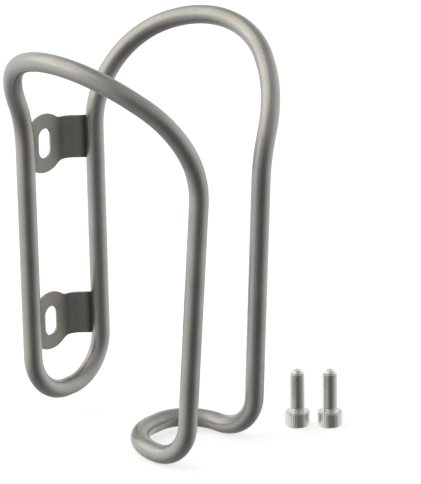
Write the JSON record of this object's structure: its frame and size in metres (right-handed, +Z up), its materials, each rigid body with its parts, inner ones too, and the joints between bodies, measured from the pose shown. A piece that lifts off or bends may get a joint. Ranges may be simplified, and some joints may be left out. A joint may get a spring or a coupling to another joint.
{
  "type": "bicycle bottle cage",
  "caption": "Bottle cage bent from a closed loop of round titanium tube, with stepped slotted mounting tabs welded between its back rails and socket head bolts standing beside it.",
  "frame": {"origin": "middle of the two mounting slots' pattern, on the plane of the tabs' back faces that rests on the bicycle's frame", "axes": "+Z up along the back rails, -Y forward to the bottle's side, +Y back into the bicycle's frame, +X to the right seen from the front; the cage is symmetric about X = 0"},
  "size_m": [0.092, 0.0924, 0.1418],
  "materials": {
    "titanium": "satin, bead-blasted",
    "titanium_plate": "satin, bead-blasted",
    "weld_metal": "satin, as welded and cleaned",
    "stainless": "machined and passivated"
  },
  "bodies": {
    "cage": {"frame_tube": "titanium", "butt_weld": "weld_metal", "upper_mount_tab": "titanium_plate", "lower_mount_tab": "titanium_plate", "upper_tab_weld_left": "weld_metal", "upper_tab_weld_right": "weld_metal", "lower_tab_weld_left": "weld_metal", "lower_tab_weld_right": "weld_metal"},
    "left_bolt": {"mounting_bolt_left": "stainless"},
    "right_bolt": {"mounting_bolt_right": "stainless"}
  },
  "joints": [
    {"name": "left_bolt_lift", "type": "slide", "parent": "cage", "child": "left_bolt", "axis": [0, 0, 1], "range_m": [0, 0.15]},
    {"name": "right_bolt_lift", "type": "slide", "parent": "cage", "child": "right_bolt", "axis": [0, 0, 1], "range_m": [0, 0.15]}
  ]
}
